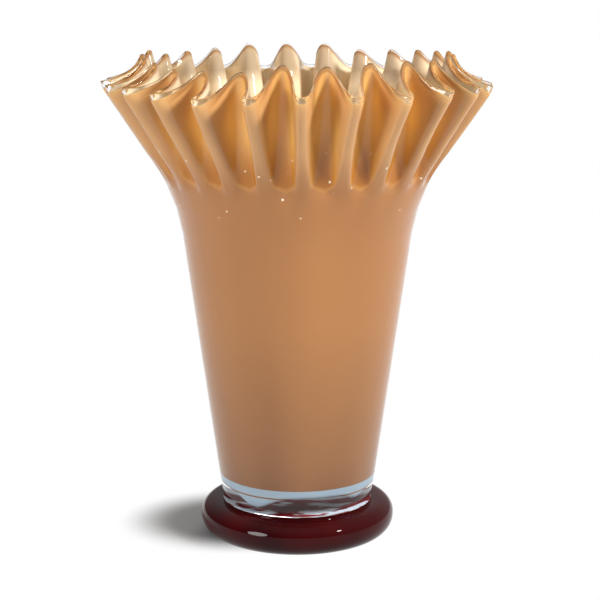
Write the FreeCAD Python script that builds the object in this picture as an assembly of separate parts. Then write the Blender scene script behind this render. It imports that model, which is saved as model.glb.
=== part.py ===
"""Fan vase of coloured glass on a thick clear base, with a clear lip and a dark foot.

The body is a slim cone. Above the throat its wall is gathered into narrow outer folds, which
flare out to the lip, and wide inner folds, which run straight on up to the peaks of the rim.
The axis is Z, the origin is the centre of the foot's underside, and one outer fold faces -Y.
"""
import FreeCAD, Part
import os
from math import atan2, cos, pi, radians, sin, tan

Vector = FreeCAD.Vector

# Whole vase, in millimetres
height = 250.0
lip_radius = 98.8
lip_drop = 16.0

# Foot
foot_radius = 50.5
foot_thickness = 18.4
foot_widest_height = 9.9
foot_edge_depth = 10.0

# Body and flare, on the outside of the wall
base_radius = 38.8
throat_radius = 61.7
flare_height = 68.3
flare_angle = radians(38.0)
flare_bend_radius = 88.0

# Glass
wall = 3.0
base_glass = 12.6
cup_floor = 4.0
lip_cover = 3.0

# Folds
fold_count = 25
fold_width = 8.0
fold_tip_radius = 4.4
fold_tip_inset = 0.3
fold_root_depth = 30.0
peak_radius = 79.0
valley_lift = 0.2
valley_start_slope = radians(24.0)
neck_slope = radians(35.0)
neck_lean = radians(20.0)

# Flat facets that stand for each round stretch
bend_facets = 2
edge_facets = 3
tip_facets = 3
valley_facets = 4

# How far a cutting solid runs past what it cuts
overrun = 12.0

full_turn = 360.0
front = -full_turn / 4
half_pitch = pi / fold_count
lip_height = height - lip_drop
throat_height = height - flare_height
body_lean = atan2(throat_radius - base_radius, throat_height - foot_thickness)
bend_tangent = flare_bend_radius * tan((flare_angle - body_lean) / 2)
cup_base_height = foot_thickness + base_glass
top_height = height + overrun
origin = Vector(0, 0, 0)
upward = Vector(0, 0, 1)


def at(radius, level):
    """A point of the XZ half-plane, from its distance to the axis and its height."""
    return Vector(radius, 0, level)


def bend_start(depth):
    """Where the straight body ends, on the surface that lies this deep in the wall."""
    along = Vector(sin(body_lean), 0, cos(body_lean))
    inward = Vector(-cos(body_lean), 0, sin(body_lean))
    return at(throat_radius, throat_height) - along * bend_tangent + inward * depth


bend_centre = bend_start(-flare_bend_radius)


def bend_point(depth, slope):
    """The point of the flare's bend, this deep in the wall, where it leans by this slope."""
    return bend_centre + Vector(-cos(slope), 0, sin(slope)) * (flare_bend_radius + depth)


def revolved(points):
    """The solid that a closed outline in the XZ half-plane makes around the axis."""
    face = Part.Face(Part.makePolygon(points + points[:1]))
    return face.revolve(origin, upward, full_turn)


def around(shape, first_angle):
    """Copies of a shape, one for each fold, from this angle onwards."""
    copies = []
    for index in range(fold_count):
        copy = shape.copy()
        copy.rotate(origin, upward, first_angle + full_turn * index / fold_count)
        copies.append(copy)
    return copies


def neck_solid(depth, floor):
    """The unfolded solid inside the surface that lies this deep in the wall."""
    start = bend_start(depth)
    floor_radius = start.x - (start.z - floor) * tan(body_lean)
    bend = []
    for index in range(bend_facets + 1):
        bend.append(bend_point(depth, body_lean + (neck_slope - body_lean) * index / bend_facets))
    neck_top = at(bend[-1].x + (top_height - bend[-1].z) * tan(neck_lean), top_height)
    return revolved([
        at(0, floor),
        at(floor_radius, floor),
        *bend,
        neck_top,
        at(0, top_height),
    ])


def fold_fin(depth):
    """One outer fold: a fin with a rounded edge, which follows the flare out of the neck."""
    tip_radius = fold_tip_radius - depth
    along = Vector(sin(flare_angle), 0, cos(flare_angle))
    outward = Vector(cos(flare_angle), 0, -sin(flare_angle))
    sideways = Vector(0, tip_radius, 0)
    start = bend_point(fold_tip_inset + fold_tip_radius, flare_angle)
    run = (lip_radius - start.x) / sin(flare_angle)
    low_end = start - along * overrun
    outline = [low_end - sideways - outward * fold_root_depth]
    for index in range(tip_facets + 1):
        turn = pi * index / tip_facets
        outline.append(low_end - sideways * cos(turn) + outward * (tip_radius * sin(turn)))
    outline.append(low_end + sideways - outward * fold_root_depth)
    face = Part.Face(Part.makePolygon(outline + outline[:1]))
    return face.extrude(along * (run + overrun + overrun))


def valley_outline(depth, bottom, level):
    """The level outline of the gap between two outer folds, round at its bottom.

    The flanks of the folds are upright planes, which meet at a fixed distance from the axis.
    """
    half_width = fold_width / 2 - depth
    meet = half_width / sin(half_pitch)
    round_radius = (bottom * sin(half_pitch) - half_width) / (1 - sin(half_pitch))
    widest = pi / 2 - half_pitch
    outline = []
    for index in range(valley_facets + 1):
        turn = widest * (2 * index / valley_facets - 1)
        across = round_radius * sin(turn)
        outline.append(Vector(bottom + round_radius - round_radius * cos(turn), across, level))
    flank = (lip_radius + overrun) * (bottom - meet) / (peak_radius - depth - meet)
    outline.append(Vector(meet + flank * cos(half_pitch), flank * sin(half_pitch), level))
    outline.append(Vector(meet + flank * cos(half_pitch), -flank * sin(half_pitch), level))
    return outline


def flat_sided(low, high):
    """The solid with flat sides between two outlines that have as many corners."""
    faces = [Part.Face(Part.makePolygon(low + low[:1])), Part.Face(Part.makePolygon(high + high[:1]))]
    for index in range(len(low)):
        corners = [low[index - 1], low[index], high[index], high[index - 1], low[index - 1]]
        faces.append(Part.Face(Part.makePolygon(corners)))
    solid = Part.Solid(Part.Shell(faces))
    if solid.Volume < 0:
        solid.reverse()
    return solid


def valley(depth):
    """The space between two outer folds, outside the surface that lies this deep in the wall."""
    low = bend_point(0, valley_start_slope)
    low_bottom = low.x + valley_lift
    lean = (peak_radius - low_bottom) / (height - low.z)
    top_bottom = low_bottom + lean * (top_height - low.z)
    return flat_sided(valley_outline(depth, low_bottom - depth, low.z),
                      valley_outline(depth, top_bottom - depth, top_height))


def folded_solid(depth, floor):
    """All that lies inside the folded surface this deep in the wall, down to its floor."""
    folded = neck_solid(depth, floor).fuse(around(fold_fin(depth), front))
    return folded.cut(around(valley(depth), front + full_turn / fold_count / 2))


def ring_outline(distance, level):
    """A level outline with one side for each fold, whose sides lie this far from the axis."""
    outline = []
    for index in range(fold_count):
        angle = half_pitch * (2 * index + 1)
        corner = distance / cos(half_pitch)
        outline.append(Vector(corner * cos(angle), corner * sin(angle), level))
    return outline


def rim_solid(cover):
    """The space under the rim, or under a level that lies this deep below it.

    A flat side over each inner fold slopes from the peak to the lip, and an upright side
    ends each outer fold.
    """
    peak_inside = peak_radius - wall
    fall = (height - lip_height) / (lip_radius - peak_inside)
    peak_height = height - cover / cos(atan2(fall, 1))
    over_peaks = front + full_turn / fold_count / 2
    roof = flat_sided(ring_outline(peak_inside + peak_height / fall, 0),
                      ring_outline(peak_inside - overrun, peak_height + overrun * fall))
    walls = flat_sided(ring_outline(lip_radius - cover, 0),
                       ring_outline(lip_radius - cover, height))
    roof.rotate(origin, upward, over_peaks)
    walls.rotate(origin, upward, front)
    return walls.common(roof)


def make_foot():
    """Thick disc with a rounded edge."""
    outline = [at(0, foot_thickness)]
    for index in range(-edge_facets, edge_facets + 1):
        turn = pi / 2 * index / edge_facets
        rise = foot_thickness - foot_widest_height if index < 0 else foot_widest_height
        outline.append(at(foot_radius - foot_edge_depth + foot_edge_depth * cos(turn),
                          foot_widest_height - rise * sin(turn)))
    outline.append(origin)
    return revolved(outline)


body = neck_solid(0, foot_thickness)
inside = folded_solid(wall, cup_base_height + cup_floor)
shell = folded_solid(0, cup_base_height).common(rim_solid(0)).cut(inside)
nodes = {
    "foot": make_foot(),
    "clear_base": body.cut(neck_solid(0, cup_base_height)),
    "colour_cup": shell.common(rim_solid(lip_cover)),
    "clear_lip": shell.cut(rim_solid(lip_cover)),
}

os.makedirs("parts", exist_ok=True)
for name, shape in nodes.items():
    shape.exportStep(f"parts/{name}.step")
    print(name, "solids", len(shape.Solids), "volume", round(shape.Volume), "valid", shape.isValid())
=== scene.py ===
"""Fan vase: caramel glass cased in clear glass, with a folded rim, a thick clear base and a dark red foot.

Lengths are in metres. The vase stands on the origin, its axis is Z and its front faces -Y. Each mass of
glass is a closed surface made of rows of points, worked out from the bottom up the outside, over the rim
and down the inside. A place on the wall is given by a fold number, whole on the outer folds and half on the
inner ones, and by a height parameter, which is 0 at the foot, 1 where the folds start and 2 at the rim.
"""

from math import atan2, pi, radians, tan

import bpy
import numpy as np
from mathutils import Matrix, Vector


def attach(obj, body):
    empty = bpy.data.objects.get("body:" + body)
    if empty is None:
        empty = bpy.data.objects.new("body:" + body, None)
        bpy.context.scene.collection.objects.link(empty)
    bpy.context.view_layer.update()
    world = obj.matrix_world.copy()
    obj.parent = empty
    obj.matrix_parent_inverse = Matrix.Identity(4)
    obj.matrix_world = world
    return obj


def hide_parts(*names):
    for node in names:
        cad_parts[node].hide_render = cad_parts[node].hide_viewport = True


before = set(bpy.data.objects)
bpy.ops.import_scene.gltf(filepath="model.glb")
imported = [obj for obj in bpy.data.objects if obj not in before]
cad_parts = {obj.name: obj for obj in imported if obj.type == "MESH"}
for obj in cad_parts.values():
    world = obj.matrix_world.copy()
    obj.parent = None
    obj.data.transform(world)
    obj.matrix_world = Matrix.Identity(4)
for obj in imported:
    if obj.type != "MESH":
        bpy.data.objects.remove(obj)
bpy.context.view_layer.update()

# Points on the wall, as distance from the axis and height
BODY_FOOT = (0.0388, 0.0184)
THROAT = (0.0617, 0.1817)
LIP_OUTSIDE = (0.0962, 0.2304)
LIP_INSIDE = (0.0978, 0.2354)
PEAK_OUTSIDE = (0.0790, 0.2488)
PEAK_INSIDE = (0.0768, 0.2492)

# Flare
FLARE_ANGLE = radians(38.0)
BEND_RADIUS = 0.088
BODY_LEAN = atan2(THROAT[0] - BODY_FOOT[0], THROAT[1] - BODY_FOOT[1])
BEND_TANGENT = BEND_RADIUS * tan((FLARE_ANGLE - BODY_LEAN) / 2)

# Thickness of the wall, and of the clear glass outside and inside its colour
WALL = 0.0026
SKIN = 0.0007
LINING = 0.0003

# Height of the rounded upper edges, in half thicknesses
CLEAR_EDGE_RISE = 0.8
COLOUR_EDGE_RISE = 1.0

# Bottom of the cup, with the height of its rounded corners
CUP_BASE = 0.0282
CUP_FLOOR = 0.0066
OPAL_TOP = 0.0328
CLEAR_CORNER = 0.004
COLOUR_CORNER = 0.003
COLOUR_HEEL = 0.002

# Sags of the cup's lower edge, as depth, angle and width, and where they fade out
CUP_SAGS = ((0.0060, -2.15, 0.28), (0.0030, -0.70, 0.20))
SAG_RADII = (0.024, 0.036)
SAG_LEVELS = (CUP_BASE + 0.0005, CUP_BASE + 0.0045)

# Foot, and the rounded lower end of the clear base that is sunk into it
FOOT_RADIUS = 0.0505
FOOT_THICKNESS = 0.0184
FOOT_EDGE = 0.0104
FOOT_WIDEST = 0.0099
FOOT_FULLNESS = 0.92
HEEL = 0.0011
HEEL_SINK = 0.0002
BASE_SINK = 0.0006

# Fused part of the foot's top: its reach past the clear base, and how far off level its faces may be
FUSED_MARGIN = 0.0002
LEVEL_SLACK = 1e-5

# Folds
FOLDS = 25
HALF_PITCH = pi / FOLDS
FOLD_START = 0.1845
GAP_START = np.array([0.0008, 0.0110])
GAP_END = np.array([0.0075, 0.0260])
POCKET = 0.22
POCKET_POWER = 1.5
PEAK_LEAN = 0.25
RIM_DIP = 0.045
RIM_DIP_POWER = 1.3
RIM_FLANK = (0.05, 1.0)

# Handles of the curve across half a fold, in half pitches, and what the depth in the glass adds to them.
# A fold that is as deep as the ripe depth, in half pitches, has them in full.
CIRCLE_HANDLE = 1 / 3
LIP_HANDLE_GROWTH = 0.31
LIP_HANDLE_LOSS = 0.04
LIP_HANDLE_DEPTH = -0.75
GAP_HANDLE_GROWTH = 0.45
GAP_HANDLE_GAIN = 0.14
GAP_HANDLE_TUCK = 0.20
GAP_HANDLE_DEPTH = 0.45
RIPE_DEPTH = 1.4

# Stretches of the height parameter over which the folds change
WANDERING = (0.85, 1.05)  # they go over from the round body to their own places
GROWING = (1.0, 1.22)  # their handles grow
HOLDING = (1.0, 1.25)  # the inner folds are held back
LETTING_GO = (1.25, 1.75)  # the inner folds catch up
SLANTING = (1.0, 1.8)  # they lean over from their lower ends to their lips
LIFTING = (1.15, 2.0)  # they go over to their own heights
SPREADING = (1.55, 2.0)  # the inside goes over to the inside points of the rim
TUCKING = (1.70, 2.0)  # the peaks narrow

# How far the colour stops short of the rim, in the height parameter, and how much less at the back's lips
COLOUR_SHORT = 0.012
COLOUR_SHORT_AT_LIPS = 0.040
LIP_FLANK = (0.10, 0.55)
BACK_REACH = 0.75
BACK_SPAN = (0.2, 0.8)

# Stretches over which the tints change, first of the way across half a fold, then of the height parameter
RIB_FLANK = (0.32, 0.60)
PEAK_FLANK = (0.45, 0.85)
BROW_FLANK = (0.30, 0.55)
RIB_RISE = (1.0, 1.6)
RIB_SPREADING = (1.62, 2.0)
GAP_RISE = (1.04, 1.11)
# The well tint is painted shade at the lower ends of the gaps
WELL_SHADE_RISE = (1.04, 1.10)
WELL_SHADE_FALL = (1.15, 1.65)
RIM_RISE = (1.80, 1.97)
EDGE_RISE = (1.945, 1.985)

# Strength of the tints, how far the ribs spread at the rim, and how much lining the peaks keep at the edge
# Strength of the painted shade at the lower ends of the gaps
WELL_SHADE_STRENGTH = 0.95
RIM_STRENGTH = 0.6
BROW_STRENGTH = 0.7
STREAK_STRENGTH = 0.12
RIB_SPREAD = 0.28
PEAK_KEEPS = 0.75

# Points of the grids: rows on each stretch of the outside and the inside, in walking order, and the rest
CLEAR_OUTSIDE_ROWS = (14, 52)
COLOUR_OUTSIDE_ROWS = (12, 50)
INSIDE_ROWS = (40, 8)
CLEAR_CORNER_ROWS = 6
COLOUR_CORNER_ROWS = 7
COLUMNS = 24
CLOSER_COLUMNS = 0.45
EDGE_STEPS = 8
CURVE_STEPS = 100
BEND_STEPS = 60
FLARE_STEPS = 40
FOOT_EDGE_ROWS = 33
FOOT_COLUMNS = 192
DISC_SHARES = (0.2, 0.5, 0.8)
FOOT_LOW_SHARES = (0.3, 0.6, 0.85, 0.97)
FOOT_HIGH_SHARES = (0.6, 0.3)

UPWARD = np.array([0.0, 0.0, 1.0])
LEVEL = np.array([1.0, 1.0, 0.0])

# Every fold of the rim differs a little. Numbers run anticlockwise from the front, one for each fold.
# How far, in pitches, an outer fold stands aside of its even place, and an inner one of the middle between
FOLD_TURN = np.array([.05, .12, .20, .30, .36, .38, .34, .22, .10, .05, .08, .12, .16,
                      .22, .28, .30, .26, .20, .15, .10, .02, -.04, -.06, -.03, .04])
GAP_SHIFT = 0.13
GAP_TURN = (FOLD_TURN + np.roll(FOLD_TURN, -1)) / 2 + GAP_SHIFT
# How far the lower end of each fold stands aside of its lip, in pitches
FOLD_SLANT = np.array([.05, .08, .11, .16, .12, .05, 0., 0., 0., 0., 0., 0., 0.,
                       0., 0., 0., 0., 0., 0., 0., .03, .06, .10, .02, -.02])
GAP_SLANT = (FOLD_SLANT + np.roll(FOLD_SLANT, -1)) / 2
# Height of each lip and drop of each peak
FOLD_LIFT = np.array([.5, .4, -.5, .6, .1, -1.2, -1.8, -.8, .3, 0., -.5, .2, .4,
                      -.2, .3, -.4, .1, .5, -.3, .2, 0., .5, -.2, -1.6, -.2]) * 0.001
PEAK_DROP = np.array([1.2, .1, 0., .4, .1, .5, .2, 1.2, 1.8, 2.6, 3.2, .2, .2,
                      .3, 2.0, 2.8, 3.1, .1, .8, 1.5, 2.5, 4.4, 4.3, 4.1, .5]) * 0.001


# Lines that the folds follow

def smooth(low, high, x):
    """Goes from 0 at low to 1 at high along a cubic with level ends."""
    t = np.clip((x - low) / (high - low), 0.0, 1.0)
    return t * t * (3.0 - 2.0 * t)


def lengths(points):
    """Distance walked along a polyline up to each of its points."""
    steps = np.linalg.norm(np.diff(points, axis=0), axis=1)
    return np.concatenate([[0.0], np.cumsum(steps)])


def flare_line():
    """Radius and height along the outer folds: a straight body, a circular bend and a straight flare."""
    body = np.array([np.sin(BODY_LEAN), np.cos(BODY_LEAN)])
    start = np.array(THROAT) - body * BEND_TANGENT
    centre = start + np.array([np.cos(BODY_LEAN), -np.sin(BODY_LEAN)]) * BEND_RADIUS
    turn = np.linspace(BODY_LEAN, FLARE_ANGLE, BEND_STEPS)[:, None]
    arc = centre + np.hstack([-np.cos(turn), np.sin(turn)]) * BEND_RADIUS
    straight = np.linspace(arc[-1], LIP_OUTSIDE, FLARE_STEPS)[1:]
    low = np.linspace(BODY_FOOT, start, BEND_STEPS)[:-1]
    return np.vstack([low, arc, straight])


def gap_line():
    """Radius and height along the inner folds: with the outer ones at first, then steeply up to the peaks.

    The upper part is a cubic Bezier curve.
    """
    flare = flare_line()
    low = flare[flare[:, 1] < FOLD_START]
    start = np.array([np.interp(FOLD_START, flare[:, 1], flare[:, 0]), FOLD_START])
    peak = np.array(PEAK_OUTSIDE)
    along = np.linspace(0.0, 1.0, CURVE_STEPS)[:, None]
    handles = [start, start + GAP_START, peak - GAP_END, peak]
    weights = [(1 - along) ** 3, 3 * along * (1 - along) ** 2, 3 * along ** 2 * (1 - along), along ** 3]
    curve = sum(weight * handle for weight, handle in zip(weights, handles))
    return np.vstack([low, curve])


FLARE_LINE = flare_line()
GAP_LINE = gap_line()


def inward(line):
    """Unit vectors that point into the glass, square to a line of radius and height."""
    along = np.gradient(line, axis=0)
    along /= np.linalg.norm(along, axis=1)[:, None]
    return np.stack([-along[:, 1], along[:, 0]], axis=1)


def on_line(line, t):
    """Points of a fold line, and unit vectors into the glass there, at height parameters.

    From 0 to 1 the parameter is a share of the line's length below the folds, and from 1 to 2 of the rest.
    """
    walked = lengths(line)
    split = np.interp(FOLD_START, line[:, 1], walked)
    s = np.where(t < 1.0, t * split, split + (t - 1.0) * (walked[-1] - split))
    normal = inward(line)
    point = np.stack([np.interp(s, walked, line[:, k]) for k in (0, 1)], axis=-1)
    towards = np.stack([np.interp(s, walked, normal[:, k]) for k in (0, 1)], axis=-1)
    return point, towards / np.linalg.norm(towards, axis=-1)[..., None]


def parameter_at(level):
    """Height parameter of a level on the straight body."""
    return (level - BODY_FOOT[1]) / (FOLD_START - BODY_FOOT[1])


# Folded surfaces

def columns():
    """Fold numbers of the columns of a grid, all the way round."""
    return np.arange(FOLDS * COLUMNS) / COLUMNS


def nearest_fold(around):
    """Number of the outer fold that is nearest to each place."""
    return np.floor(around + 0.5).astype(int)


def fold_share(around):
    """How far each place is on its way from an outer fold, 0, to an inner one, 1."""
    return np.abs(around - nearest_fold(around)) * 2.0


def folded(t, around, depth):
    """One surface of the folded wall, at a depth in the glass.

    At height parameter t, half a fold is a cubic Bezier curve from the outer fold line to the inner one,
    level and square to the radius at both ends. Its handles start as those of a circle and grow with the
    depth of the fold, narrow at the outer fold and wide at the inner one. The inner fold's line is held
    back at first, so that its lower end is a round pocket. Both lines move into the glass by the depth, and
    near the rim they go over to the inside points of the lip and the peak. t and depth may vary over the
    places.
    """
    fold = nearest_fold(around)
    share = fold_share(around)
    side = np.where(around >= fold, 1.0, -1.0)
    held = POCKET * (1.0 - share) ** POCKET_POWER * smooth(*HOLDING, t) * (1.0 - smooth(*LETTING_GO, t))
    lip, lip_in = on_line(FLARE_LINE, t)
    gap, gap_in = on_line(GAP_LINE, t - held)
    lip = lip + lip_in * depth[..., None]
    gap = gap + gap_in * depth[..., None]
    end = (smooth(*SPREADING, t) * depth / WALL)[..., None]
    lip = lip + end * (np.array(LIP_INSIDE) - np.array(LIP_OUTSIDE) - lip_in * WALL)
    gap = gap + end * (np.array(PEAK_INSIDE) - np.array(PEAK_OUTSIDE) - gap_in * WALL)

    this_fold = fold % FOLDS
    this_gap = np.floor(around).astype(int) % FOLDS
    lifted = smooth(*LIFTING, t)
    lip[..., 1] += FOLD_LIFT[this_fold] * lifted
    gap[..., 1] -= PEAK_DROP[this_gap] * lifted
    gap[..., 0] -= PEAK_DROP[this_gap] * lifted * PEAK_LEAN
    wander = FOLD_TURN[this_fold] * (1 - share) + GAP_TURN[this_gap] * share
    slant = FOLD_SLANT[this_fold] * (1 - share) + GAP_SLANT[this_gap] * share
    wander = (wander + slant * (1 - smooth(*SLANTING, t))) * smooth(*WANDERING, t)

    grown = smooth(*GROWING, t)
    share = share - CLOSER_COLUMNS * grown * np.sin(2 * pi * share) / (2 * pi)
    lip_width = HALF_PITCH * lip[..., 0]
    gap_width = HALF_PITCH * gap[..., 0]
    ripe = smooth(0.0, RIPE_DEPTH, np.linalg.norm(lip - gap, axis=-1) / gap_width)
    lip_handle = lip_width * (CIRCLE_HANDLE + grown * LIP_HANDLE_GROWTH - ripe * LIP_HANDLE_LOSS)
    lip_handle = lip_handle + ripe * depth * LIP_HANDLE_DEPTH
    tuck = smooth(*TUCKING, t) * GAP_HANDLE_TUCK
    gap_handle = gap_width * (CIRCLE_HANDLE + grown * GAP_HANDLE_GROWTH + ripe * (GAP_HANDLE_GAIN - tuck))
    gap_handle = gap_handle + ripe * depth * GAP_HANDLE_DEPTH
    cosine = np.cos(HALF_PITCH)
    sine = np.sin(HALF_PITCH)
    lip_end = np.stack([lip[..., 0], np.zeros_like(lip_handle), lip[..., 1]], axis=-1)
    lip_pull = np.stack([lip[..., 0], lip_handle, lip[..., 1]], axis=-1)
    gap_pull = np.stack([gap[..., 0] * cosine + gap_handle * sine,
                         gap[..., 0] * sine - gap_handle * cosine, gap[..., 1]], axis=-1)
    gap_end = np.stack([gap[..., 0] * cosine, gap[..., 0] * sine, gap[..., 1]], axis=-1)
    s = share[..., None]
    point = ((1 - s) ** 3 * lip_end + 3 * s * (1 - s) ** 2 * lip_pull
             + 3 * s ** 2 * (1 - s) * gap_pull + s ** 3 * gap_end)
    radius = np.hypot(point[..., 0], point[..., 1])
    angle = side * np.arctan2(point[..., 1], point[..., 0])
    angle = angle + (fold + wander) * 2 * HALF_PITCH - pi / 2
    return np.stack([radius * np.cos(angle), radius * np.sin(angle), point[..., 2]], axis=-1)


def rim_stop(around):
    """Height parameter at which the rim is trimmed: full at lips and peaks, lower on the flanks between."""
    return 2.0 - RIM_DIP * np.sin(pi * smooth(*RIM_FLANK, fold_share(around))) ** RIM_DIP_POWER


def steps_between(stops, counts):
    """Height parameters that go from stop to stop, with a count of points for each stretch."""
    stretches = [np.linspace(a, b, count)[:-1] for a, b, count in zip(stops, stops[1:], counts)]
    return np.concatenate([*stretches, stops[-1:]])


def up_to(steps, stop):
    """Rows of height parameters whose part above 1 is drawn in to end at the stop of each column."""
    steps = steps[:, None] + 0 * stop[None, :]
    return np.where(steps > 1.0, 1.0 + (steps - 1.0) * (stop[None, :] - 1.0), steps)


def wall_rows(t, depth):
    """Rows of a folded surface at one depth, for rows of height parameters."""
    return folded(t, np.broadcast_to(columns(), t.shape), np.full(t.shape, depth))


def rim_edge(outer, inner, rise):
    """Rounded edge over two surfaces: half an ellipse, whose height is a share of half the thickness."""
    along = outer[-1] - outer[-2] + inner[0] - inner[1]
    along /= np.linalg.norm(along, axis=-1, keepdims=True)
    middle = (outer[-1] + inner[0]) / 2
    across = (outer[-1] - inner[0]) / 2
    height = rise * np.linalg.norm(across, axis=-1, keepdims=True)
    turn = (np.arange(1, EDGE_STEPS) / EDGE_STEPS * pi)[:, None, None]
    return middle + across * np.cos(turn) + along * height * np.sin(turn)


def corner_rows(row, corner, level, turn):
    """Rows of a quarter circle, from a row of the wall at turn 0 to a flat at a level at a right angle."""
    turn = turn[:, None, None]
    radius = np.hypot(row[:, 0], row[:, 1])[:, None]
    spoke = row * LEVEL / radius
    return (spoke * (radius - corner + corner * np.cos(turn))
            + UPWARD * (level + corner - corner * np.sin(turn)))


def disc_rows(row, level, shares):
    """Rows that shrink a row towards the axis and bring it to a level."""
    centre = UPWARD * level
    flat = row * LEVEL + centre
    return centre + (flat - centre) * np.asarray(shares)[:, None, None]


def closed_mesh(name, rows, bottom, top):
    """Mesh of a grid of rows that closes on itself sideways, with a fan to the axis at each end."""
    count, around = rows.shape[:2]
    points = np.vstack([rows.reshape(-1, 3), [UPWARD * bottom], [UPWARD * top]])
    i, j = np.meshgrid(np.arange(count - 1), np.arange(around), indexing="ij")
    k = (j + 1) % around
    quads = np.stack([i * around + j, i * around + k, (i + 1) * around + k, (i + 1) * around + j], axis=-1)
    low = np.arange(around)
    beside = (low + 1) % around
    high = (count - 1) * around
    first = np.stack([beside, low, np.full(around, count * around)], axis=-1)
    last = np.stack([high + low, high + beside, np.full(around, count * around + 1)], axis=-1)
    loops = np.concatenate([quads.ravel(), first.ravel(), last.ravel()])
    sizes = np.concatenate([np.full(quads.size // 4, 4), np.full(2 * around, 3)])
    starts = np.concatenate([[0], np.cumsum(sizes)[:-1]])
    mesh = bpy.data.meshes.new(name)
    mesh.vertices.add(len(points))
    mesh.vertices.foreach_set("co", points.astype(np.float32).ravel())
    mesh.loops.add(len(loops))
    mesh.loops.foreach_set("vertex_index", loops.astype(np.int32))
    mesh.polygons.add(len(sizes))
    mesh.polygons.foreach_set("loop_start", starts.astype(np.int32))
    mesh.update(calc_edges=True)
    mesh.validate()
    mesh.polygons.foreach_set("use_smooth", np.ones(len(mesh.polygons), dtype=bool))
    mesh.update()
    piece = bpy.data.objects.new(name, mesh)
    bpy.context.scene.collection.objects.link(piece)
    return piece


# Pieces

def clear_glass():
    """The clear glass: thick base, thin skin over the colour, and the lip, as one closed mass."""
    stop = rim_stop(columns())
    cup_floor = CUP_BASE + CUP_FLOOR
    up = steps_between([0.0, 1.0, 2.0], CLEAR_OUTSIDE_ROWS)
    down = steps_between([2.0, 1.0, parameter_at(cup_floor + CLEAR_CORNER)], INSIDE_ROWS)
    outer = wall_rows(up_to(up, stop), 0.0)
    inner = wall_rows(up_to(down, stop), WALL)
    edge = rim_edge(outer, inner, CLEAR_EDGE_RISE)
    quarter = np.linspace(0.0, pi / 2, CLEAR_CORNER_ROWS)
    bend = corner_rows(inner[-1], CLEAR_CORNER, cup_floor, quarter[1:])
    flat = disc_rows(bend[-1], cup_floor, DISC_SHARES[::-1])
    spoke = outer[0] * LEVEL / BODY_FOOT[0]
    turn = quarter[:, None, None]
    heel = (spoke * (BODY_FOOT[0] - HEEL * (1 - np.sin(turn)))
            + UPWARD * (FOOT_THICKNESS - HEEL_SINK + HEEL * (1 - np.cos(turn))))
    outer[0] += UPWARD * (HEEL + 2 * HEEL_SINK)
    underside = FOOT_THICKNESS - BASE_SINK
    base = disc_rows(spoke * (BODY_FOOT[0] - HEEL), underside, [*DISC_SHARES, 1.0])
    rows = np.concatenate([base, heel, outer, edge, inner, bend, flat])
    return closed_mesh("clear_glass", rows, underside, cup_floor)


def sagged(rows):
    """The cup's lower edge, let down by a bell curve of the angle at two places, as soft glass sags."""
    angle = np.arctan2(rows[..., 1], rows[..., 0])
    amount = sum(depth * np.exp(-((angle - place) / width) ** 2) for depth, place, width in CUP_SAGS)
    near = smooth(*SAG_RADII, np.hypot(rows[..., 0], rows[..., 1]))
    near = near * (1.0 - smooth(*SAG_LEVELS, rows[..., 2]))
    return rows - UPWARD * (amount * near)[..., None]


def tint_masks(t, share, inside, on_edge):
    """Where each tint of the colour lies, from 0 to 1, for every point of the colour layer.

    Ribs are the outer folds, which widen towards the rim. Gaps are the inner folds, with painted shade in a
    pocket at the lower end, whose outline is round. The brow is the rounded upper edge, except on the outer
    folds.
    """
    rib = 1.0 - smooth(*RIB_FLANK, share - RIB_SPREAD * smooth(*RIB_SPREADING, t))
    pocket = t - POCKET * (1.0 - share) ** POCKET_POWER
    below_edge = 1.0 - smooth(*EDGE_RISE, t) * (1.0 - PEAK_KEEPS * smooth(*PEAK_FLANK, share))
    return {
        "inside": inside * below_edge,
        "rib": rib * smooth(*RIB_RISE, t),
        "gap": (1.0 - rib) * smooth(*GAP_RISE, pocket),
        # painted shade at the lower end of each gap
        "well_shade": (1.0 - rib) * smooth(*WELL_SHADE_RISE, pocket) * (1.0 - smooth(*WELL_SHADE_FALL, t)),
        "rim": smooth(*RIM_RISE, t),
        "brow": on_edge * BROW_STRENGTH * smooth(*BROW_FLANK, share),
    }


def paint(piece, name, values):
    """Stores one number for each vertex, for a material to read; the two ends take that of their row."""
    every = np.concatenate([values.ravel(), values[0, :1], values[-1, :1]])
    layer = piece.data.attributes.new(name, "FLOAT", "POINT")
    layer.data.foreach_set("value", every.astype(np.float32))


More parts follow.
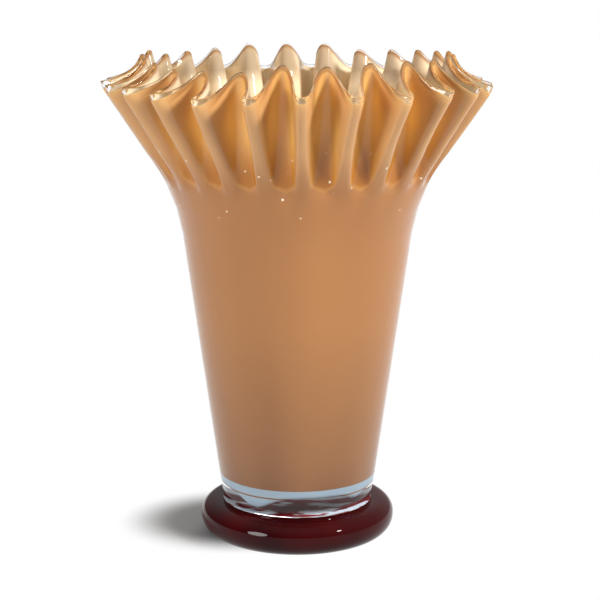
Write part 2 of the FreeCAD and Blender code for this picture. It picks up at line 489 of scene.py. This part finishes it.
def colour_layer():
    """The coloured layer in the clear glass: closed bottom, wall between two depths, rounded upper edge."""
    around = columns()
    share = fold_share(around)
    near_lip = 1.0 - smooth(*LIP_FLANK, share)
    behind = smooth(*BACK_SPAN, -np.cos(2 * HALF_PITCH * around))
    stop = rim_stop(around) - COLOUR_SHORT_AT_LIPS * near_lip * (1.0 - BACK_REACH * behind) - COLOUR_SHORT
    cup_floor = CUP_BASE + CUP_FLOOR
    up = steps_between([parameter_at(CUP_BASE + COLOUR_HEEL), 1.0, 2.0], COLOUR_OUTSIDE_ROWS)
    down = steps_between([2.0, 1.0, parameter_at(cup_floor + COLOUR_CORNER)], INSIDE_ROWS)
    t_up = up_to(up, stop)
    t_down = up_to(down, stop)
    outer = wall_rows(t_up, SKIN)
    inner = wall_rows(t_down, WALL - LINING)
    edge = rim_edge(outer, inner, COLOUR_EDGE_RISE)
    top = cup_floor - LINING
    quarter = np.linspace(0.0, pi / 2, COLOUR_CORNER_ROWS)
    bend = corner_rows(inner[-1], inner[-1][0, 2] - top, top, quarter[1:])
    flat = disc_rows(bend[-1], top, DISC_SHARES[::-1])
    under = corner_rows(outer[0], outer[0][0, 2] - CUP_BASE, CUP_BASE, quarter[:0:-1])
    disc = disc_rows(under[0], CUP_BASE, DISC_SHARES)
    rows = sagged(np.concatenate([disc, under, outer, edge, inner, bend, flat]))
    piece = closed_mesh("caramel_layer", rows, CUP_BASE, top)

    wall_row = len(disc) + len(under)
    edge_row = wall_row + len(outer)
    inner_row = edge_row + len(edge)
    t = np.zeros(rows.shape[:2])
    t[wall_row:inner_row + len(inner)] = np.concatenate([t_up, np.full(edge.shape[:2], 2.0), t_down])
    inside = np.zeros(rows.shape[:2])
    inside[inner_row:] = 1.0
    on_edge = np.zeros(rows.shape[:2])
    on_edge[edge_row - 1:inner_row + 1] = 1.0
    for name, values in tint_masks(t, share, inside, on_edge).items():
        paint(piece, name, values)
    return piece


def foot_disc():
    """The foot: a disc whose edge is two quarter ovals, a little fuller than ellipses, above each other."""
    turn = np.linspace(-pi / 2, pi / 2, FOOT_EDGE_ROWS)
    height = np.where(turn < 0, FOOT_WIDEST, FOOT_THICKNESS - FOOT_WIDEST)
    radius = (FOOT_RADIUS - FOOT_EDGE + FOOT_EDGE * np.cos(turn) ** FOOT_FULLNESS)[:, None]
    level = (FOOT_WIDEST + height * np.sign(turn) * np.abs(np.sin(turn)) ** FOOT_FULLNESS)[:, None]
    angle = np.arange(FOOT_COLUMNS) / FOOT_COLUMNS * 2 * pi
    edge = np.stack([radius * np.cos(angle), radius * np.sin(angle), level + 0 * angle], axis=-1)
    low = disc_rows(edge[0], 0.0, FOOT_LOW_SHARES)
    base_share = BODY_FOOT[0] / (FOOT_RADIUS - FOOT_EDGE)
    high_shares = [(1 + base_share) / 2, base_share, *FOOT_HIGH_SHARES]
    high = disc_rows(edge[-1], FOOT_THICKNESS, high_shares)
    return closed_mesh("red_foot", np.concatenate([low, edge, high]), 0.0, FOOT_THICKNESS)


def under_base(foot):
    """Which faces of the foot lie on its top, under the clear base."""
    middles = np.empty(len(foot.data.polygons) * 3, dtype=np.float32)
    foot.data.polygons.foreach_get("center", middles)
    middles = middles.reshape(-1, 3)
    on_top = middles[:, 2] > FOOT_THICKNESS - LEVEL_SLACK
    return on_top & (np.hypot(middles[:, 0], middles[:, 1]) < BODY_FOOT[0] + FUSED_MARGIN)


# Material helpers

def new_material(name):
    """An empty node material, its node tree and its output."""
    material = bpy.data.materials.new(name)
    material.use_nodes = True
    material.node_tree.nodes.clear()
    out = material.node_tree.nodes.new("ShaderNodeOutputMaterial")
    return material, material.node_tree, out


def plug(tree, made, inputs):
    """Gives a node its input values or links."""
    for key, value in inputs.items():
        if isinstance(value, bpy.types.NodeSocket):
            tree.links.new(value, made.inputs[key])
        else:
            made.inputs[key].default_value = value


def node(tree, kind, inputs=None, **settings):
    """A node with its settings and its input values or links."""
    made = tree.nodes.new(kind)
    for key, value in settings.items():
        setattr(made, key, value)
    plug(tree, made, inputs or {})
    return made


def mix_colour(tree, factor, a, b):
    """Blend of two colours by a factor."""
    made = node(tree, "ShaderNodeMix", data_type="RGBA")
    plug(tree, made, {0: factor, 6: a, 7: b})
    return made.outputs[2]


def reckon(tree, operation, *values):
    """The result of one step of arithmetic."""
    return node(tree, "ShaderNodeMath", dict(enumerate(values)), operation=operation).outputs[0]


def reckon_vector(tree, operation, *values):
    """The node of one step of vector arithmetic."""
    return node(tree, "ShaderNodeVectorMath", dict(enumerate(values)), operation=operation)


def ranged(tree, value, low, high, first=0.0, last=1.0, curve="LINEAR"):
    """A number that goes from first to last while the value goes from low to high, and is held beyond."""
    inputs = {"Value": value, "From Min": low, "From Max": high, "To Min": first, "To Max": last}
    return node(tree, "ShaderNodeMapRange", inputs, interpolation_type=curve).outputs[0]


def painted(tree, name):
    """A number that was stored for each vertex."""
    return node(tree, "ShaderNodeAttribute", attribute_name=name).outputs["Fac"]


def object_place(tree):
    """The place on the object, in its own frame."""
    return node(tree, "ShaderNodeTexCoord").outputs["Object"]


def ripple_group():
    """Node group: the faint unevenness of blown glass, as a normal and a mask of drawn-out streaks."""
    group = bpy.data.node_groups.new("blown_glass_ripple", "ShaderNodeTree")
    for name, value in (("Scale", 40.0), ("Stretch", 0.2), ("Depth", 0.02)):
        socket = group.interface.new_socket(name, in_out="INPUT", socket_type="NodeSocketFloat")
        socket.default_value = value
    group.interface.new_socket("Normal", in_out="OUTPUT", socket_type="NodeSocketVector")
    group.interface.new_socket("Streak", in_out="OUTPUT", socket_type="NodeSocketFloat")
    taken = node(group, "NodeGroupInput")
    given = node(group, "NodeGroupOutput")
    squeeze = node(group, "ShaderNodeCombineXYZ", {"X": 1.0, "Y": 1.0, "Z": taken.outputs["Stretch"]})
    stretched = reckon_vector(group, "MULTIPLY", object_place(group), squeeze.outputs[0])
    noise = node(group, "ShaderNodeTexNoise", {
        "Vector": stretched.outputs[0], "Scale": taken.outputs["Scale"], "Detail": 1.0,
        "Roughness": 0.4}).outputs["Fac"]
    bump = node(group, "ShaderNodeBump", {"Height": noise, "Strength": taken.outputs["Depth"],
                                          "Distance": 0.002})
    group.links.new(bump.outputs[0], given.inputs["Normal"])
    group.links.new(ranged(group, noise, 0.3, 0.7), given.inputs["Streak"])
    return group


RIPPLE = ripple_group()


def ripple(tree, scale, stretch, depth):
    """The unevenness group in a material, with its own values."""
    made = node(tree, "ShaderNodeGroup", node_tree=RIPPLE)
    plug(tree, made, {"Scale": scale, "Stretch": stretch, "Depth": depth})
    return made


# Materials, with their colours in linear light

CLEAR = (0.97, 0.985, 0.99, 1)
CLEAR_TO_LAMPS = (0.97, 0.98, 0.985, 1)
BODY_LOW = (0.20, 0.084, 0.034, 1)
BODY_STEPS = ((0.10, (0.26, 0.110, 0.042, 1)), (0.55, (0.39, 0.163, 0.051, 1)))
BODY_HIGH = (0.395, 0.163, 0.049, 1)
RIB = (0.60, 0.32, 0.13, 1)
GAP = (0.89, 0.51, 0.15, 1)
# Painted shade for the lower ends of the gaps
WELL_PAINTED_SHADE = (0.39, 0.125, 0.007, 1)
RIM = (0.68, 0.36, 0.13, 1)
# The lining: a pale inner layer, painted paler low inside as painted light, and deeper on its peaks as
# painted shade
LINING_PALE_WITH_PAINTED_LIGHT = (0.99, 0.77, 0.52, 1)
LINING_PEAK_PAINTED_SHADE = (0.50, 0.38, 0.245, 1)
BROW = (0.22, 0.085, 0.025, 1)
STREAK = (0.62, 0.30, 0.09, 1)
# Pale dots that are painted glints
PAINTED_GLINT = (1.0, 0.85, 0.64, 1)
OPAL = (0.30, 0.38, 0.45, 1)
# The foot's top under the base: reds lighter than the foot's own glass, as painted light, and a pale painted
# reflection
FUSED_DARK_WITH_PAINTED_LIGHT = (0.16, 0.016, 0.020, 1)
FUSED_RED_WITH_PAINTED_LIGHT = (0.34, 0.045, 0.055, 1)
FUSED_PAINTED_REFLECTION = (0.80, 0.90, 1.0, 1)
FOOT_DARK = (0.022, 0.0012, 0.0022, 1)
FOOT_RED = (0.046, 0.0016, 0.0022, 1)
FLOOR_GREY = (0.38, 0.38, 0.38, 1)
WHITE = (1, 1, 1, 1)

# Heights between which the caramel glass changes, and its painted glints and the thin line under the opal
# ring
BODY_BAND = (0.03, 0.19)
# Heights over which the lining goes from its painted light to the painted shade on its peaks
LINING_SHADE_BAND = (0.228, 0.236)
GLINT_BAND_LOW = (0.172, 0.180)
GLINT_BAND_HIGH = (0.200, 0.212)
GLINT_CELLS = 135.0
GLINT_SIZE = (0.060, 0.100)
OPAL_FADE = 0.0003
HEM_LEVEL = CUP_BASE - 0.0001
HEM_REACH = 0.0004


def clear_material():
    """Clear glass that bends light for the eye and lets lamps through to the colour behind it."""
    material, tree, out = new_material("clear_glass")
    wave = ripple(tree, 28.0, 0.35, 0.02)
    glass = node(tree, "ShaderNodeBsdfPrincipled", {
        "Base Color": CLEAR, "Roughness": 0.0, "IOR": 1.48, "Transmission Weight": 1.0,
        "Specular IOR Level": 0.18, "Normal": wave.outputs["Normal"]})
    through = node(tree, "ShaderNodeBsdfTransparent", {"Color": CLEAR_TO_LAMPS})
    path = node(tree, "ShaderNodeLightPath")
    either = reckon(tree, "MAXIMUM", path.outputs["Is Shadow Ray"], path.outputs["Is Diffuse Ray"])
    mixed = node(tree, "ShaderNodeMixShader", {0: either, 1: glass.outputs[0], 2: through.outputs[0]})
    tree.links.new(mixed.outputs[0], out.inputs["Surface"])
    return material


def body_colour(tree, height):
    """The colour of the body, browner towards the foot."""
    ramp = node(tree, "ShaderNodeValToRGB", {"Fac": ranged(tree, height, *BODY_BAND)})
    ramp.color_ramp.elements[0].color = BODY_LOW
    ramp.color_ramp.elements[1].color = BODY_HIGH
    for share, tint in BODY_STEPS:
        ramp.color_ramp.elements.new(share).color = tint
    return ramp.outputs[0]


def lining_with_painted_light_and_shade(tree, height, rib):
    """The pale inner lining, painted paler low inside, where shade falls, and deeper inside the lit peaks:
    painted light and shade.
    """
    upper = ranged(tree, height, *LINING_SHADE_BAND)
    peak = reckon(tree, "SUBTRACT", 1.0, rib)
    return mix_colour(tree, reckon(tree, "MULTIPLY", upper, peak), LINING_PALE_WITH_PAINTED_LIGHT, LINING_PEAK_PAINTED_SHADE)


def painted_glint_mask(tree, place, height):
    """Painted glints: small pale dots in a band at the throat, where the surface runs close by the middle of
    a cell.
    """
    low = ranged(tree, height, *GLINT_BAND_LOW)
    high = ranged(tree, height, *GLINT_BAND_HIGH, 1.0, 0.0)
    cell = node(tree, "ShaderNodeTexVoronoi", {"Vector": place, "Scale": GLINT_CELLS})
    dot = ranged(tree, cell.outputs["Distance"], *GLINT_SIZE, 1.0, 0.0, "SMOOTHSTEP")
    return reckon(tree, "MULTIPLY", dot, reckon(tree, "MULTIPLY", low, high))


def opal_mask(tree, height, inside):
    """The opal ring on the outside of the cup's lower edge, less the thin line along its underside."""
    ring = ranged(tree, height, OPAL_TOP - OPAL_FADE, OPAL_TOP, 1.0, 0.0)
    ring = reckon(tree, "MULTIPLY", ring, reckon(tree, "SUBTRACT", 1.0, inside))
    hem = reckon(tree, "COMPARE", height, HEM_LEVEL, HEM_REACH)
    return reckon(tree, "MULTIPLY", ring, reckon(tree, "SUBTRACT", 1.0, hem))


def caramel_material():
    """Opal caramel glass: a body that is browner below, with the tints of its folds and edges over it.

    The ribs are pale and the gaps deep orange, with painted shade at their lower ends. Over them lie a paler
    rim, the lining, painted paler low inside as painted light and deeper on its peaks as painted shade, the
    brown upper edge, faint streaks, painted glints at the throat and the opal ring at the bottom.
    """
    material, tree, out = new_material("caramel_glass")
    place = object_place(tree)
    height = node(tree, "ShaderNodeSeparateXYZ", {0: place}).outputs["Z"]
    rib = painted(tree, "rib")
    inside = painted(tree, "inside")
    wave = ripple(tree, 50.0, 0.12, 0.0)
    colour = body_colour(tree, height)
    for mask, tint in (
            (rib, RIB),
            (painted(tree, "gap"), GAP),
            # painted shade at the lower ends of the gaps
            (reckon(tree, "MULTIPLY", painted(tree, "well_shade"), WELL_SHADE_STRENGTH), WELL_PAINTED_SHADE),
            (reckon(tree, "MULTIPLY", painted(tree, "rim"), RIM_STRENGTH), RIM),
            # the lining, with painted light low inside and painted shade on its peaks
            (inside, lining_with_painted_light_and_shade(tree, height, rib)),
            (painted(tree, "brow"), BROW),
            (reckon(tree, "MULTIPLY", wave.outputs["Streak"], STREAK_STRENGTH), STREAK),
            # painted glints at the throat
            (painted_glint_mask(tree, place, height), PAINTED_GLINT),
            (opal_mask(tree, height, inside), OPAL)):
        colour = mix_colour(tree, mask, colour, tint)
    body = node(tree, "ShaderNodeBsdfPrincipled", {
        "Base Color": colour, "Roughness": 0.35, "IOR": 1.2, "Specular IOR Level": 0.0,
        "Subsurface Weight": 0.15, "Subsurface Radius": (1.0, 0.45, 0.2), "Subsurface Scale": 0.006})
    tree.links.new(body.outputs[0], out.inputs["Surface"])
    return material


def fused_material_with_painted_light():
    """The foot's top under the clear base: red, lighter than the foot's own glass as painted light, with pale
    patches of painted reflection, and no surface of its own to shine.
    """
    material, tree, out = new_material("foot_glass_fused")
    wave = ripple(tree, 45.0, 1.0, 0.0)
    cloud = node(tree, "ShaderNodeTexNoise", {"Vector": object_place(tree), "Scale": 55.0, "Detail": 2.0})
    painted_reflection = ranged(tree, cloud.outputs["Fac"], 0.50, 0.56)
    colour = mix_colour(tree, wave.outputs["Streak"], FUSED_DARK_WITH_PAINTED_LIGHT, FUSED_RED_WITH_PAINTED_LIGHT)
    # pale patches of painted reflection
    colour = mix_colour(tree, painted_reflection, colour, FUSED_PAINTED_REFLECTION)
    body = node(tree, "ShaderNodeBsdfPrincipled", {
        "Base Color": colour, "Roughness": 0.9, "IOR": 1.001, "Specular IOR Level": 0.0})
    tree.links.new(body.outputs[0], out.inputs["Surface"])
    return material


def foot_material():
    """Dark red glass, all but opaque at this thickness, with a fire-polished surface."""
    material, tree, out = new_material("foot_glass")
    wave = ripple(tree, 45.0, 1.0, 0.06)
    colour = mix_colour(tree, wave.outputs["Streak"], FOOT_DARK, FOOT_RED)
    body = node(tree, "ShaderNodeBsdfPrincipled", {
        "Base Color": colour, "Roughness": 0.03, "IOR": 1.5, "Specular IOR Level": 0.15,
        "Normal": wave.outputs["Normal"]})
    tree.links.new(body.outputs[0], out.inputs["Surface"])
    return material


# Assembly

def add(piece, material, slot, *nodes):
    """Puts a piece on the body, in the place of these nodes."""
    piece.data.materials.append(material)
    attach(piece, "root")
    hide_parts(*nodes)


add(clear_glass(), clear_material(), "clear_glass", "clear_base", "clear_lip")
add(colour_layer(), caramel_material(), "caramel_glass", "colour_cup")
foot = foot_disc()
add(foot, foot_material(), "foot_glass", "foot")
foot.data.materials.append(fused_material_with_painted_light())
foot.data.polygons.foreach_set("material_index", under_base(foot).astype(np.int32))


# Studio

# Grey part of the floor: its shift and stretch, and the radii between which it goes over to white
GREY_SHIFT = (0.034, -0.012, 0.0)
GREY_STRETCH = (1.0, 1.15, 1.0)
GREY_RADII = (0.030, 0.064)
FLOOR_REACH = 6.0

# Surroundings: the direction in which they are brightest, and their strength away from it and there
BRIGHT_SIDE = (0.30, 0.22, 0.93)
ROOM_SPAN = (-0.25, 0.85)
ROOM_STRENGTH = (0.08, 0.52)


def sweep():
    """Floor that is plain grey near the vase, where it keeps the shadow, and white to the eye further out."""
    mesh = bpy.data.meshes.new("floor")
    corners = [(x * FLOOR_REACH, y * FLOOR_REACH, 0) for x, y in ((-1, -1), (1, -1), (1, 1), (-1, 1))]
    mesh.from_pydata(corners, [], [(0, 1, 2, 3)])
    floor = bpy.data.objects.new("floor", mesh)
    bpy.context.scene.collection.objects.link(floor)
    material, tree, out = new_material("studio_floor")
    matt = node(tree, "ShaderNodeBsdfDiffuse", {"Color": FLOOR_GREY})
    white = node(tree, "ShaderNodeEmission", {"Color": WHITE, "Strength": 1.0})
    aside = reckon_vector(tree, "ADD", object_place(tree), GREY_SHIFT)
    flat = reckon_vector(tree, "MULTIPLY", aside.outputs[0], GREY_STRETCH)
    away = reckon_vector(tree, "LENGTH", flat.outputs[0])
    far = ranged(tree, away.outputs["Value"], *GREY_RADII, curve="SMOOTHSTEP")
    path = node(tree, "ShaderNodeLightPath")
    seen = reckon(tree, "MAXIMUM", path.outputs["Is Camera Ray"], path.outputs["Is Glossy Ray"])
    seen = reckon(tree, "MAXIMUM", seen, path.outputs["Is Transmission Ray"])
    shown = node(tree, "ShaderNodeMixShader", {0: reckon(tree, "MULTIPLY", seen, far), 1: matt.outputs[0],
                                               2: white.outputs[0]})
    tree.links.new(shown.outputs[0], out.inputs["Surface"])
    mesh.materials.append(material)


def studio_world():
    """Pale surroundings, brighter above, that are plain white to the eye."""
    world = bpy.data.worlds.new("studio")
    bpy.context.scene.world = world
    world.use_nodes = True
    tree = world.node_tree
    tree.nodes.clear()
    out = node(tree, "ShaderNodeOutputWorld")
    path = node(tree, "ShaderNodeLightPath")
    seen = reckon(tree, "MAXIMUM", path.outputs["Is Camera Ray"], path.outputs["Is Transmission Ray"])
    place = node(tree, "ShaderNodeTexCoord")
    lean = reckon_vector(tree, "DOT_PRODUCT", place.outputs["Generated"], BRIGHT_SIDE)
    room = ranged(tree, lean.outputs["Value"], *ROOM_SPAN, *ROOM_STRENGTH, "SMOOTHSTEP")
    strength = node(tree, "ShaderNodeMix", {0: seen, 2: room, 3: 1.0})
    back = node(tree, "ShaderNodeBackground", {"Color": WHITE, "Strength": strength.outputs[0]})
    tree.links.new(back.outputs[0], out.inputs["Surface"])


def lamp(name, place, aim, size, power, mirrored=True):
    """Round area lamp at a place, turned to a point; it may be one that shiny surfaces don't mirror."""
    data = bpy.data.lights.new(name, "AREA")
    data.shape = "DISK"
    data.size = size
    data.energy = power
    light = bpy.data.objects.new(name, data)
    light.location = place
    light.rotation_euler = (Vector(aim) - Vector(place)).to_track_quat("-Z", "Y").to_euler()
    light.visible_glossy = mirrored
    bpy.context.scene.collection.objects.link(light)


def camera():
    """The camera at the photograph's viewing angle."""
    data = bpy.data.cameras.new("camera")
    data.sensor_width = 36.0
    data.lens = 107.09
    data.shift_x = 0.0045
    data.clip_start = 0.01
    view = bpy.data.objects.new("camera", data)
    view.location = (0.0, -0.9005, 0.3122)
    view.rotation_euler = (radians(78.136), 0.0, 0.0)
    bpy.context.scene.collection.objects.link(view)
    bpy.context.scene.camera = view


sweep()
studio_world()
lamp("key", place=(1.15, -0.52, 0.88), aim=(0, 0, 0.10), size=0.34, power=19.5, mirrored=False)
lamp("spark", place=(0.92, -0.68, 0.66), aim=(0, 0, 0.12), size=0.14, power=4.5)
lamp("fill", place=(-1.35, -1.25, 0.36), aim=(0, 0, 0.12), size=0.80, power=27.5)
lamp("back", place=(0.35, 1.50, 0.42), aim=(0, 0, 0.12), size=0.60, power=10.5, mirrored=False)
camera()
bpy.context.scene.view_settings.view_transform = "Standard"
